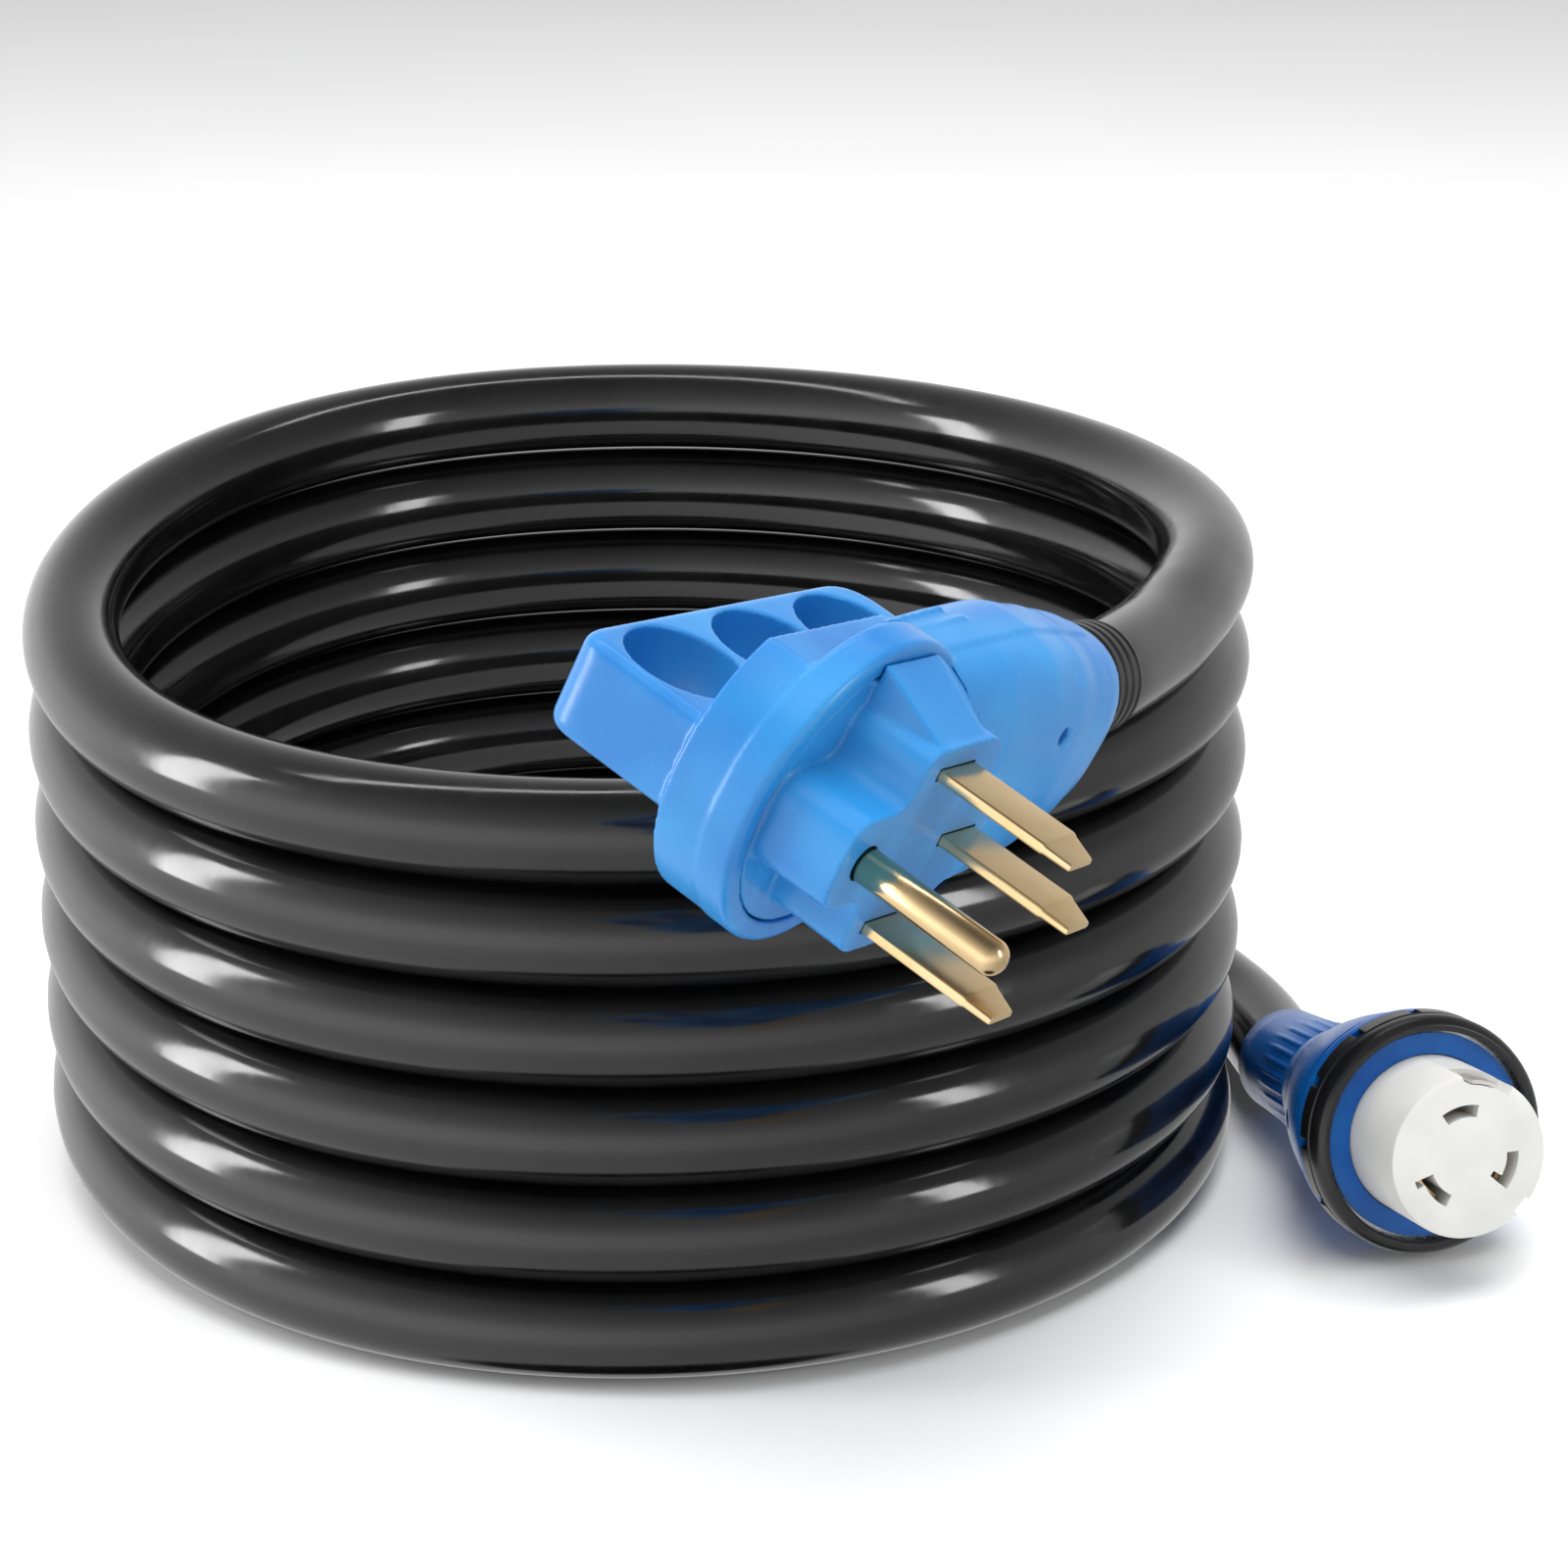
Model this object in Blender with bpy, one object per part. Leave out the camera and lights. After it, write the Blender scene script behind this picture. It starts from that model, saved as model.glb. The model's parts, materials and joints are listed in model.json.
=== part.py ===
"""Shore power cord: a coil of thick black cable between a four-blade plug with a finger-hole
handle and a round connector with a locking ring.

Lengths are in millimetres and are multiplied by MM as they go into Blender.
The cable leaves the plug, winds down the coil, makes one loop behind it on the floor and runs
forward beside it into the back of the connector.
"""
import math

import bmesh
import bpy
from mathutils import Vector

MM = 0.001

# Cable and coil ----------------------------------------------------------------------------
CABLE_D = 25.0
CABLE_R = CABLE_D / 2
COIL_R = 6 * CABLE_D                # from the coil's axis to the middle of the cable
LAYER = 1.026 * CABLE_D             # from one layer of the coil to the next
LAYERS_DOWN = 6                     # how many layers the cable comes down in all
STEP_FROM, STEP_TO = 98.0, 256.0    # degrees between which each turn comes down a layer
COIL_START, COIL_END = -15.0, 92.0  # where the cable joins and leaves the coil, in degrees
GAP = 0.3                           # air between parts that touch

# Whole set ---------------------------------------------------------------------------------
SET_OFFSET = (-112.0, 132.1, 0.0)   # puts the plug and the connector over the origin

# Plug: X runs along the blades, Y to the cable and Z up through the handle --------------------
PLUG_AT = (66.4, -233.1, 168.4)     # the middle of the blade face
PLUG_TURN = (-9.2, 22.4, -36.3)     # degrees about X, Y and Z
LINE_SPACING = 38.5
NEUTRAL_Y, GROUND_Y = 16.2, -21.5
BLADE_LONG, BLADE_WIDE, BLADE_THICK, TAIL = 35.0, 14.0, 2.6, 6.0
PIN_LONG, PIN_R = 37.5, 4.0
NOSE_LONG = 20.0
COLLAR_R, COLLAR_LONG = 37.7, 21.0
FLAT_FROM, FLAT_TOP = 9.5, 29.5       # the collar is cut flat on top from here back
HANDLE_BACK, HANDLE_LEFT, HANDLE_RIGHT, HANDLE_THICK = -76.0, -35.5, 72.0, 23.0
HOLE_X_R, HOLE_Y_R, HOLE_PITCH, HOLE_X = 13.8, 15.2, 33.3, -58.5
GLAND_X, GLAND_Z, GLAND_END = -26.0, 10.0, 95.0
RELIEF_FROM, RELIEF_TO = 84.0, 112.0
POCKET_R, POCKET_DEEP, DISC_THICK = 32.5, 17.0, 5.0
WELL_R = 27.0                       # the pocket behind the carrier's disc
LAMP_Y, LAMP_Z, LAMP_R = 66.2, 12.0, 2.0

# Connector: Z runs along its axis, out of the mating face ------------------------------------
CONNECTOR_AT = (203.1, -80.6, 32.0)
CONNECTOR_HEADING, CONNECTOR_TILT = -74.3, 11.0
RING_OUT, RING_IN, RING_HALF = 31.5, 27.3, 6.0
BARREL_R, BARREL_FRONT, BARREL_BACK = 21.0, 28.5, -19.0
SLOT_IN, SLOT_OUT, SLOT_ARC = 10.4, 13.6, 44.0
SLOT_AT = (189.0, 69.0, 309.0)       # degrees round the barrel, from its lowest point
KEY_AT, SIDE_NOTCH_AT, GROUND_POST_AT = 163.0, 45.0, 129.0
NUT_FROM, NUT_TO, NUT_R = -52.5, -90.0, 15.6
CABLE_IN = -66.0                    # where the cable's jacket ends inside the connector
NOTCHES = 12

for old in list(bpy.data.objects):
    bpy.data.objects.remove(old, do_unlink=True)


# Building blocks ---------------------------------------------------------------------------
def material(name, colour, roughness, metallic=0.0):
    made = bpy.data.materials.new(name)
    made.use_nodes = True
    shader = made.node_tree.nodes["Principled BSDF"]
    shader.inputs["Base Color"].default_value = (*colour, 1.0)
    shader.inputs["Roughness"].default_value = roughness
    shader.inputs["Metallic"].default_value = metallic
    return made


def empty(name, at, turn_degrees, parent=None):
    made = bpy.data.objects.new(name, None)
    made.location = Vector(at) * MM
    made.rotation_euler = [math.radians(a) for a in turn_degrees]
    made.parent = parent
    bpy.context.collection.objects.link(made)
    return made


def solid(name, points, faces, finish, parent):
    mesh = bpy.data.meshes.new(name)
    mesh.from_pydata([Vector(p) * MM for p in points], [], faces)
    shape = bmesh.new()
    shape.from_mesh(mesh)
    bmesh.ops.recalc_face_normals(shape, faces=shape.faces)
    shape.to_mesh(mesh)
    shape.free()
    made = bpy.data.objects.new(name, mesh)
    made.parent = parent
    bpy.context.collection.objects.link(made)
    if finish:
        mesh.materials.append(finish)
    else:
        made.hide_render = True
        made.display_type = "WIRE"
    return made


def loft(name, rings, finish, parent, closed=False):
    """A solid through rings of points that all have the same number of points."""
    n, points = len(rings[0]), [p for ring in rings for p in ring]
    faces = []
    for i in range(len(rings) if closed else len(rings) - 1):
        a, b = i * n, (i + 1) % len(rings) * n
        faces += [(a + k, a + (k + 1) % n, b + (k + 1) % n, b + k) for k in range(n)]
    if not closed:
        faces += [tuple(range(n))[::-1], tuple(range((len(rings) - 1) * n, len(rings) * n))]
    return solid(name, points, faces, finish, parent)


def along_x(name, outline, low, high, finish, parent):
    """An outline of (y, z) points, anticlockwise, made solid from low to high along X."""
    return loft(name, [[(x, y, z) for y, z in outline] for x in (low, high)], finish, parent)


def along_z(name, outline, low, high, finish, parent):
    return loft(name, [[(x, y, z) for x, y in outline] for z in (low, high)], finish, parent)


def turned(name, profile, finish, parent, sides=48):
    """A closed profile of (radius, z) points turned round Z."""
    rings = []
    for i in range(sides):
        c, s = math.cos(2 * math.pi * i / sides), math.sin(2 * math.pi * i / sides)
        rings.append([(r * c, r * s, z) for r, z in profile])
    return loft(name, rings, finish, parent, closed=True)


def circle(radius, sides, at=(0.0, 0.0), start=0.0):
    step = 2 * math.pi / sides
    return [(at[0] + radius * math.cos(start + i * step), at[1] + radius * math.sin(start + i * step))
            for i in range(sides)]


def rounded(outline, radius, steps=4):
    """The outline with each corner turned into an arc of about this radius, or of its own third value."""
    made = []
    for i, corner in enumerate(outline):
        here = Vector(corner[:2])
        r = corner[2] if len(corner) > 2 else radius
        back = (Vector(outline[i - 1][:2]) - here).normalized()
        on = (Vector(outline[(i + 1) % len(outline)][:2]) - here).normalized()
        half = back.angle(on) / 2
        cut = r / math.tan(half)
        a, b = here + back * cut, here + on * cut
        for k in range(steps + 1):
            t = k / steps
            made.append(tuple(a * (1 - t) ** 2 + here * (2 * t * (1 - t)) + b * t ** 2))
    return made


def cut(target, tool, operation="DIFFERENCE"):
    step = target.modifiers.new(tool.name, "BOOLEAN")
    step.operation, step.solver, step.object = operation, "EXACT", tool


def tube(name, points, radius, finish, parent, fineness=3):
    curve = bpy.data.curves.new(name, "CURVE")
    curve.dimensions, curve.bevel_depth = "3D", radius * MM
    curve.bevel_resolution, curve.use_fill_caps = fineness, True
    line = curve.splines.new("POLY")
    line.points.add(len(points) - 1)
    for spot, p in zip(line.points, points):
        spot.co = (*(Vector(p) * MM), 1.0)
    curve.materials.append(finish)
    made = bpy.data.objects.new(name, curve)
    made.parent = parent
    bpy.context.collection.objects.link(made)
    return made


def smooth(route, spacing):
    """Points about this far apart on one smooth curve through the route's points."""
    route = [Vector(p) for p in route]
    ends = [route[0] * 2 - route[1]] + route + [route[-1] * 2 - route[-2]]
    made = []
    for a, b, c, d in zip(ends, ends[1:], ends[2:], ends[3:]):
        pieces = max(1, round((c - b).length / spacing))
        for k in range(pieces):
            t = k / pieces
            made.append(0.5 * (2 * b + (c - a) * t + (2 * a - 5 * b + 4 * c - d) * t * t
                               + (3 * b - a - 3 * c + d) * t ** 3))
    return made + [route[-1]]


# Finishes ----------------------------------------------------------------------------------
plug_blue = material("plug_pvc", (0.04, 0.22, 0.66), 0.38)
carrier_blue = material("carrier_nylon", (0.045, 0.24, 0.68), 0.40)
brass = material("blade_brass", (0.78, 0.60, 0.30), 0.25, 1.0)
crimp_copper = material("crimp_copper", (0.72, 0.42, 0.28), 0.35, 1.0)
wire_black = material("wire_black", (0.02, 0.02, 0.02), 0.45)
wire_red = material("wire_red", (0.55, 0.03, 0.03), 0.45)
wire_white = material("wire_white", (0.80, 0.80, 0.78), 0.45)
wire_green = material("wire_green", (0.02, 0.30, 0.07), 0.45)
lamp_blue = material("lamp_lens", (0.02, 0.08, 0.45), 0.20)
cable_black = material("cable_jacket", (0.012, 0.012, 0.013), 0.28)
shell_blue = material("shell_blue", (0.02, 0.13, 0.45), 0.35)
ring_black = material("ring_black", (0.015, 0.015, 0.017), 0.38)
barrel_white = material("barrel_white", (0.82, 0.82, 0.79), 0.40)
seal_rubber = material("seal_rubber", (0.03, 0.03, 0.03), 0.70)
clip_steel = material("clip_steel", (0.62, 0.63, 0.65), 0.30, 1.0)

whole_set = empty("shore_power_cord", SET_OFFSET, (0, 0, 0))
plug = empty("plug_frame", PLUG_AT, PLUG_TURN, whole_set)
connector = empty("connector_frame", CONNECTOR_AT, (0, 90 - CONNECTOR_TILT, CONNECTOR_HEADING), whole_set)
bpy.context.view_layer.update()

# Plug body: collar, handle, dome with the cable's way in, and the pocket for the blade carrier --
face_back = -NOSE_LONG
body = along_x("plug_body", circle(COLLAR_R, 72), face_back - FLAT_FROM, face_back, plug_blue, plug)
flat_topped = [(y, min(z, FLAT_TOP)) for y, z in circle(COLLAR_R - 0.3, 72)]
collar_back = along_x("collar_back", flat_topped, face_back - COLLAR_LONG, face_back - 4, None, plug)
cut(body, collar_back, "UNION")


def handle_outline(inset):
    back, left, right = HANDLE_BACK + inset, HANDLE_LEFT + inset, HANDLE_RIGHT - inset
    corners = [(back, left, 9 - inset), (-32, left, 3), (-32, right, 3), (back, right, 12 - inset)]
    return rounded(corners, 6, 6)


thick = HANDLE_THICK / 2
handle = loft("handle_slab", [[(x, y, z) for x, y in handle_outline(inset)] for inset, z in
                              ((2.4, -thick), (0.7, -thick + 0.8), (0.0, -thick + 2.6), (0.0, thick - 2.6),
                               (0.7, thick - 0.8), (2.4, thick))], None, plug)
cut(body, handle, "UNION")


def oval(y, x_mid, x_half, z_mid, z_half, sides=40, power=2.5):
    """A squarish oval in the plane across the cable, at y."""
    ring = []
    for i in range(sides):
        c, s = math.cos(2 * math.pi * i / sides), math.sin(2 * math.pi * i / sides)
        ring.append((x_mid + x_half * math.copysign(abs(c) ** (2 / power), c), y,
                     z_mid - z_half * math.copysign(abs(s) ** (2 / power), s)))
    return ring


dome = loft("plug_dome", [oval(-4, -28, 7, -2, 24), oval(12, -28, 14, -1, 28.5), oval(14, -28, 17, -1, 32),
                          oval(40, -27, 20, -1, 32.5), oval(58, -27, 20, 0, 31.5),
                          oval(72, -26.5, 19.5, 0.5, 29), oval(82, -26.5, 19, 1, 26.5),
                          oval(GLAND_END - 5, -26.2, 18, 3.2, 23),
                          oval(GLAND_END, GLAND_X, 17, 7, 19)], None, plug)
cut(body, dome, "UNION")

for number in range(3):
    hole = along_z(f"finger_hole_{number + 1}",
                   [(HOLE_X + HOLE_X_R * x, (number - 0.5) * HOLE_PITCH + HOLE_Y_R * y)
                    for x, y in circle(1.0, 48)], -40, 40, None, plug)
    cut(body, hole)
pocket = along_x("carrier_pocket", circle(POCKET_R, 64), face_back - DISC_THICK - GAP, 5, None, plug)
cut(body, pocket)
well = along_x("wiring_well", circle(WELL_R, 64), face_back - POCKET_DEEP, -10, None, plug)
cut(body, well)
wire_way = along_x("wire_way", rounded([(12, -22), (50, -22), (64, -8), (64, 23), (46, 25), (12, 24)], 3),
                   face_back - POCKET_DEEP, face_back - 3, None, plug)
cut(body, wire_way)
cable_way = loft("cable_way", [[(GLAND_X + x, y, GLAND_Z - z) for x, z in circle(CABLE_R + GAP, 48)]
                               for y in (44, GLAND_END + 20)], None, plug)
cut(body, cable_way)
relief_way = loft("relief_way", [[(GLAND_X + x, y, GLAND_Z - z) for x, z in circle(14.9, 48)]
                                 for y in (RELIEF_FROM - GAP, GLAND_END + 20)], None, plug)
cut(body, relief_way)
lamp_front = -26.7 + 19.7 * (1 - ((LAMP_Z - 0.3) / 30.3) ** 2.5) ** 0.4
lamp_way = along_x("lamp_way", circle(LAMP_R + GAP, 24, (LAMP_Y, LAMP_Z)), lamp_front - 3.0, 5, None,
                   plug)
cut(body, lamp_way)
lamp = along_x("indicator_lens", circle(LAMP_R, 24, (LAMP_Y, LAMP_Z)),
               lamp_front - 3.0 + GAP, lamp_front - 1.0, lamp_blue, plug)

# Blade carrier: a disc in the pocket, and the nose with a lobe round each blade ------------------
disc_back = face_back - DISC_THICK
carrier = along_x("blade_carrier", circle(POCKET_R - GAP, 64), disc_back, face_back, carrier_blue, plug)
nose_outline = rounded([(-31.5, -11.2, 8), (-13.5, -11.2, 6), (-13.5, -25.6, 7), (16.5, -25.6, 7),
                        (19.0, -13.5, 6), (29.6, -12.5, 6), (29.6, 12.5, 6), (19.0, 13.5, 6),
                        (16.5, 25.6, 7), (-13.5, 25.6, 7), (-13.5, 11.2, 6), (-31.5, 11.2, 8)], 4)
nose = along_x("nose_lobes", nose_outline, face_back - 1, 0, None, plug)
cut(carrier, nose, "UNION")


def hood(name, back, front, grown):
    """The slope from the top lobe to the collar's rim, bigger all round by this much."""
    y_mid, z_mid = 8, 10
    sections = []
    for x, outline in ((back, ((-11, 5), (34, 5), (33.5, 14), (24, 27.5), (10, 34.5), (-11, 34.5))),
                       (front, ((-9, 4), (15, 4), (15.4, 12), (15, 20), (10, 25), (-9, 25)))):
        sections.append([(x, y + math.copysign(grown, y - y_mid), z + math.copysign(grown, z - z_mid))
                         for y, z in outline])
    return loft(name, sections, None, plug)


cut(carrier, hood("nose_hood", face_back + GAP, -0.6, 0.0), "UNION")
cut(body, hood("hood_way", face_back + 0.01, -0.3, 0.5))

blades = {"line_blade_x": (0.0, LINE_SPACING / 2), "line_blade_y": (0.0, -LINE_SPACING / 2),
          "neutral_blade": (NEUTRAL_Y, 0.0)}
half = BLADE_WIDE / 2
for name, (y, z) in blades.items():
    outline = [(disc_back - TAIL, y - half), (BLADE_LONG - 1, y - half), (BLADE_LONG, y - half + 1),
               (BLADE_LONG, y + half - 5), (BLADE_LONG - 8, y + half), (disc_back - TAIL, y + half)]
    blade = along_z(name, outline, z - BLADE_THICK / 2, z + BLADE_THICK / 2, brass, plug)
    wide, thin = half + GAP, BLADE_THICK / 2 + GAP
    slot_outline = [(y + a * wide, z + b * thin) for a, b in ((-1, -1), (1, -1), (1, 1), (-1, 1))]
    slot = along_x(name + "_slot", slot_outline, disc_back - 10, 5, None, plug)
    cut(carrier, slot)
pin_rings = [[(x, GROUND_Y + y, z) for y, z in circle(r, 32)]
             for x, r in ((disc_back - TAIL, PIN_R), (PIN_LONG - 4.0, PIN_R), (PIN_LONG - 2.0, PIN_R * 0.87),
                          (PIN_LONG - 0.6, PIN_R * 0.55), (PIN_LONG, PIN_R * 0.2))]
loft("ground_pin", pin_rings, brass, plug)
pin_way = along_x("pin_way", circle(PIN_R + GAP, 32, (GROUND_Y, 0)), disc_back - 10, 5, None, plug)
cut(carrier, pin_way)

# Inside the plug: a crimped sleeve behind each blade, and its wire back to the cable -------------
SLEEVE_R, SLEEVE_LONG, WIRE_R, JACKET_END = 2.6, 9.0, 1.9, 70.0
sleeve_x = disc_back - TAIL - GAP - SLEEVE_R
cable_core = Vector((GLAND_X, 0, GLAND_Z))
wires = {"x": ((0.0, LINE_SPACING / 2), (-4, 4.2), wire_black),
         "y": ((0.0, -LINE_SPACING / 2), (-4, -4.2), wire_red),
         "neutral": ((NEUTRAL_Y + 4, 0.0), (4, -4.2), wire_white),
         "ground": ((GROUND_Y, 0.0), (4, 4.2), wire_green)}
for name, ((y, z), (dx, dz), finish) in wires.items():
    low = y - SLEEVE_LONG / 2
    loft(f"crimp_{name}", [[(sleeve_x + a, v, z - b) for a, b in circle(SLEEVE_R, 20)]
                           for v in (low, low + SLEEVE_LONG)], crimp_copper, plug)
    end = low + SLEEVE_LONG + GAP
    side = {"ground": 8.5, "neutral": 0.0}.get(name, z)
    path = [(sleeve_x, end, z), (sleeve_x, end + 6, z)]
    if name == "ground":
        path += [(sleeve_x, 2, side), (sleeve_x, 24, side)]
    path += [(sleeve_x + (GLAND_X + dx - sleeve_x) * 0.5, 46, (side + GLAND_Z + dz) / 2),
             (GLAND_X + dx, JACKET_END - 6, GLAND_Z + dz), (GLAND_X + dx, JACKET_END - GAP, GLAND_Z + dz)]
    tube(f"plug_wire_{name}", smooth(path, 7), WIRE_R, finish, plug, 2)

relief = [(14.6, RELIEF_FROM), (14.6, GLAND_END - 2), (14.2, GLAND_END + 6), (13.5, RELIEF_TO),
          (CABLE_R + GAP, RELIEF_TO), (CABLE_R + GAP, RELIEF_FROM)]
relief_rings = []
for i in range(48):
    c, s = math.cos(2 * math.pi * i / 48), math.sin(2 * math.pi * i / 48)
    relief_rings.append([(GLAND_X + r * c, y, GLAND_Z + r * s) for r, y in relief])
loft("plug_strain_relief", relief_rings, seal_rubber, plug, closed=True)


# Cable: the lead from the plug, the coil and the lead to the connector -----------------------------
def layers_left(degrees):
    """How many layers the cable still has to come down at this angle, counted on from the first turn."""
    left = LAYERS_DOWN
    for turn in range(LAYERS_DOWN):
        t = min(1.0, max(0.0, (degrees - STEP_FROM - 360 * turn) / (STEP_TO - STEP_FROM)))
        left -= t - math.sin(2 * math.pi * t) / (2 * math.pi)
    return left


def on_coil(degrees):
    """The middle of the cable at this angle along the coil."""
    a = math.radians(degrees)
    return Vector((COIL_R * math.cos(a), COIL_R * math.sin(a), CABLE_R + LAYER * layers_left(degrees)))


def coil_section(degrees, top, bottom):
    """The outline of the stack of turns at this angle, from its highest cable to its lowest."""
    a = math.radians(degrees)
    ring = []
    for k in range(16):
        u = 2 * math.pi * (k + 0.5) / 16
        r = COIL_R + CABLE_R * math.cos(u)
        z = (top if math.sin(u) > 0 else bottom) + CABLE_R * math.sin(u)
        ring.append((r * math.cos(a), r * math.sin(a), z))
    return ring


last_turn = 360 * LAYERS_DOWN
sections = []
for step in range(90):
    angle = COIL_START + 4 * step
    first = angle if angle >= COIL_START else angle + 360
    last = angle + last_turn if angle <= COIL_END else angle + last_turn - 360
    sections.append((angle, on_coil(first).z, on_coil(last).z))
after_start = COIL_START + 360
sections.append((after_start - 0.1, on_coil(after_start).z, on_coil(after_start + last_turn - 360).z))
sections.append((COIL_END, on_coil(COIL_END).z, CABLE_R))
sections.append((COIL_END + 0.1, on_coil(COIL_END).z, on_coil(COIL_END + last_turn - 360).z))
sections.sort()
loft("cable_coil", [coil_section(*s) for s in sections], cable_black, whole_set, closed=True)

plug_in_set = plug.matrix_world.translation - whole_set.matrix_world.translation
plug_turn = plug.matrix_world.to_3x3()


def from_plug(x, y, z):
    return (plug_in_set + plug_turn @ (Vector((x, y, z)) * MM)) / MM


def beside_coil(along):
    """A point on the coil's tangent this far past its start, at the height of the cable there."""
    a = math.radians(COIL_START)
    return on_coil(COIL_START) + Vector((-math.sin(a), math.cos(a), 0)) * along


plug_route = [from_plug(GLAND_X, y, GLAND_Z) for y in (JACKET_END, 92, RELIEF_TO + 4)]
plug_route += [(128.5, -88.0, 166.8), (138.0, -62.5, 166.4), beside_coil(-12), beside_coil(-0.6)]
lead = [plug_route[0], plug_route[1], *smooth(plug_route[2:], 22)]
tube("plug_lead", lead, CABLE_R, cable_black, whole_set)

connector_in_set = connector.matrix_world.translation - whole_set.matrix_world.translation
connector_turn = connector.matrix_world.to_3x3()


def from_connector(z):
    return (connector_in_set + connector_turn @ Vector((0, 0, z * MM))) / MM


leaves = math.radians(COIL_END)
leaving = Vector((-math.sin(leaves), math.cos(leaves), 0))
floor_route = [on_coil(COIL_END + last_turn) + leaving * s for s in (0.6, 13)]
floor_route += [(-57, 162.5, CABLE_R), (-93, 187, CABLE_R), (-117, 222, CABLE_R), (-124, 264, CABLE_R),
                (-116, 307, CABLE_R), (-91, 345, CABLE_R), (-53, 371, CABLE_R), (-9, 380, CABLE_R),
                (35, 371, CABLE_R), (72, 347, CABLE_R), (97, 309, CABLE_R), (112, 262, CABLE_R),
                (124, 212, CABLE_R), (134, 165, CABLE_R), (143.5, 122, CABLE_R), (153.2, 93, CABLE_R),
                (164, 67, CABLE_R + 0.1), (173.2, 40, CABLE_R + 0.5)]
lead = smooth([*floor_route, from_connector(NUT_TO - 2)], 50)
lead += [from_connector(NUT_TO + 6), from_connector(CABLE_IN)]
tube("connector_lead", lead, CABLE_R, cable_black, whole_set)

# Connector: shell, locking ring, clip and seal -----------------------------------------------------
THREAD_R, CAVITY_R, SEAT_R = 13.9, 12.2, BARREL_R + GAP
shell_outside = [
    (26.8, 3.0), (26.8, 1.6), (25.3, 1.6), (25.3, 0.0), (26.8, 0.0), (26.8, -6.3), (30.6, -6.3),
    (30.6, -9.6), (28.6, -11.0), (27.6, -15.0), (24.4, -31.0), (19.6, -43.0), (17.4, -48.0), (17.0, -52.0),
    (THREAD_R, -52.0), (THREAD_R, -61.5)]
shell_inside = [
    (CAVITY_R, -61.5), (CAVITY_R, -50.0), (16.5, -42.0), (BARREL_R - 1.0, -33.0), (SEAT_R, -26.0),
    (SEAT_R, -8.0), (22.7, -8.0), (22.7, -5.8), (SEAT_R, -5.8), (SEAT_R, 3.0)]
turned("connector_shell", shell_outside + shell_inside, shell_blue, connector)
turned("barrel_seal", [(22.4, -7.7), (BARREL_R + 0.15, -7.7), (BARREL_R + 0.15, -6.1), (22.4, -6.1)],
       seal_rubber, connector)
turned("ring_clip", [(29.2, 0.2), (25.6, 0.2), (25.6, 1.4), (29.2, 1.4)], clip_steel, connector)

ring = turned("locking_ring", [
    (RING_IN, -RING_HALF), (RING_OUT - 0.8, -RING_HALF), (RING_OUT, -RING_HALF + 0.8), (RING_OUT, 1.0),
    (RING_OUT - 0.9, 5.0), (RING_OUT - 2.2, RING_HALF), (RING_IN + 0.4, RING_HALF), (RING_IN + 0.4, 4.2),
    (29.8, 3.4), (29.8, -0.3), (RING_IN, -0.3)], ring_black, connector, 72)
for number in range(NOTCHES):
    a = 2 * math.pi * number / NOTCHES
    out, side = Vector((math.cos(a), math.sin(a), 0)), Vector((-math.sin(a), math.cos(a), 0))
    square = [out * r + side * w for r, w in ((30.2, -1.3), (33.5, -1.3), (33.5, 1.3), (30.2, 1.3))]
    notch = along_z(f"ring_notch_{number + 1}", [tuple(p)[:2] for p in square],
                    -RING_HALF - 2, -RING_HALF + 4.5, None, connector)
    cut(ring, notch)

# Connector: white barrel with three curved slots and a keyway, its contacts and terminals -------------
barrel = loft("contact_barrel", [[(x, y, z) for x, y in circle(r, 72)]
                                 for z, r in ((BARREL_BACK, BARREL_R), (BARREL_FRONT - 1.2, BARREL_R),
                                              (BARREL_FRONT, BARREL_R - 1.2))], barrel_white, connector)


def arc_outline(inner, outer, middle, spread, steps=10):
    angles = [math.radians(middle - spread / 2 + spread * k / steps) for k in range(steps + 1)]
    return ([(outer * math.cos(a), outer * math.sin(a)) for a in angles]
            + [(inner * math.cos(a), inner * math.sin(a)) for a in reversed(angles)])


for number, middle in enumerate(SLOT_AT):
    slot = along_z(f"slot_{number + 1}", arc_outline(SLOT_IN, SLOT_OUT, middle, SLOT_ARC), BARREL_BACK - 5,
                   BARREL_FRONT + 5, None, connector)
    cut(barrel, slot)
    along_z(f"arc_contact_{number + 1}", arc_outline(SLOT_OUT - 1.5, SLOT_OUT - GAP, middle, SLOT_ARC - 6),
            BARREL_BACK + 1, BARREL_FRONT - 6, brass, connector)
keyway = along_z("keyway", arc_outline(BARREL_R - 2.6, BARREL_R + 3, KEY_AT, 40),
                 BARREL_FRONT - 9, BARREL_FRONT + 5, None, connector)
cut(barrel, keyway)
along_z("ground_contact", arc_outline(BARREL_R - 2.3, BARREL_R - 1.3, KEY_AT, 22), BARREL_FRONT - 8.6,
        BARREL_FRONT - 1.5, brass, connector)
side_notch = along_z("side_notch", arc_outline(BARREL_R - 1.6, BARREL_R + 3, SIDE_NOTCH_AT, 14),
                     BARREL_FRONT - 9, BARREL_FRONT + 5, None, connector)
cut(barrel, side_notch)

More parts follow.
